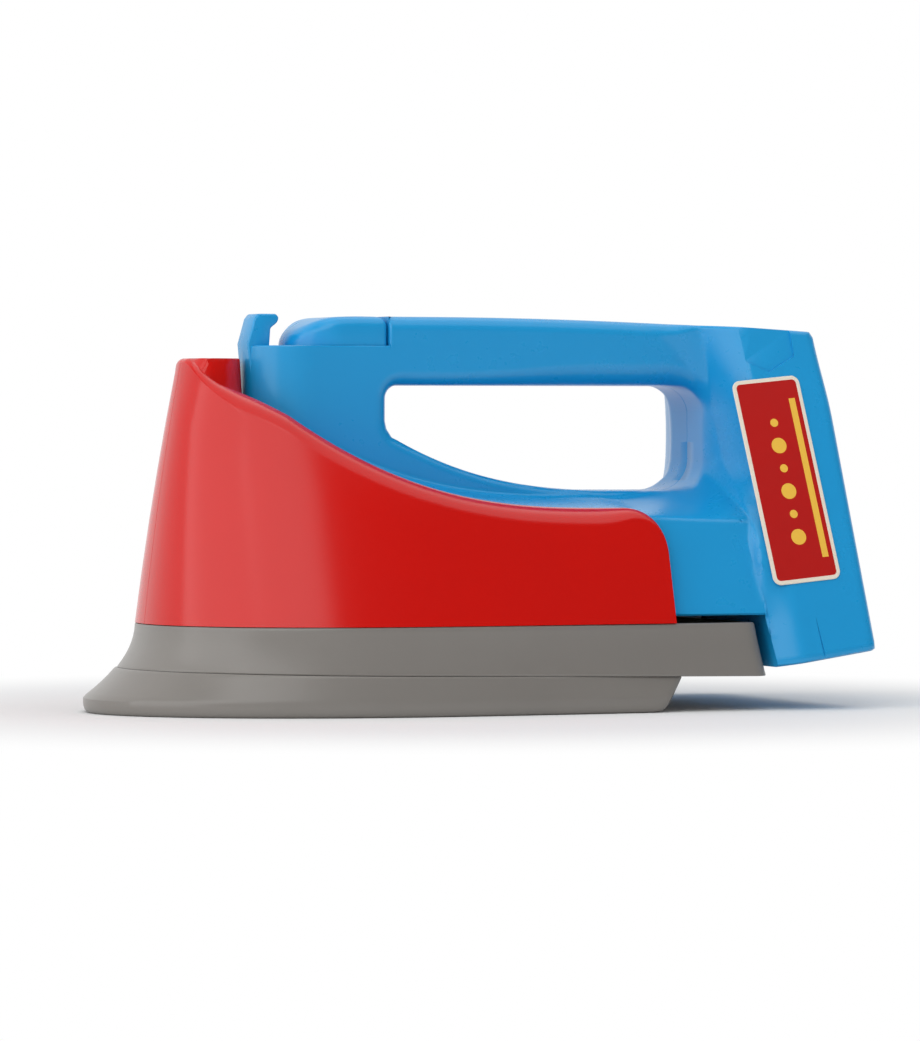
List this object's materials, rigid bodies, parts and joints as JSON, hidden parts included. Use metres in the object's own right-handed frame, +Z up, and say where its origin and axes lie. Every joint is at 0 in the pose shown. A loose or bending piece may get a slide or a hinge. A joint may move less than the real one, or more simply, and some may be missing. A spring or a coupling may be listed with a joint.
{
  "type": "toy clothes iron",
  "caption": "Child's toy clothes iron with a grey base, a red two-part body, a blue loop handle with a thumb button and a striped sticker on the heel.",
  "frame": {"origin": "under the middle of the iron's box, on the ironing face", "axes": "+X towards the heel with the nose at -X, +Z up, so that the iron's left side is -Y"},
  "size_m": [0.181, 0.091, 0.0925],
  "materials": {
    "grey_plastic": "moulded grey plastic, satin gloss",
    "red_plastic": "moulded red plastic, glossy",
    "blue_plastic": "moulded blue plastic, glossy",
    "spring_steel": "drawn spring wire",
    "screw_steel": "zinc-plated steel",
    "sticker": "printed and varnished film"
  },
  "bodies": {
    "iron": {"soleplate": "grey_plastic", "body_left": "red_plastic", "body_right": "red_plastic", "handle_left": "blue_plastic", "handle_right": "blue_plastic", "handle_screws": "screw_steel", "body_screw": "screw_steel", "sole_screws": "screw_steel", "heel_sticker": "sticker", "button_spring": "spring_steel"},
    "button": {"thumb_button": "blue_plastic"}
  },
  "joints": [
    {"name": "button_press", "type": "slide", "parent": "iron", "child": "button", "axis": [0, 0, -1], "range_m": [0, 0.0015], "stiffness_N_per_m": 300, "springref_m": -0.002, "deforming": ["button_spring"]}
  ]
}
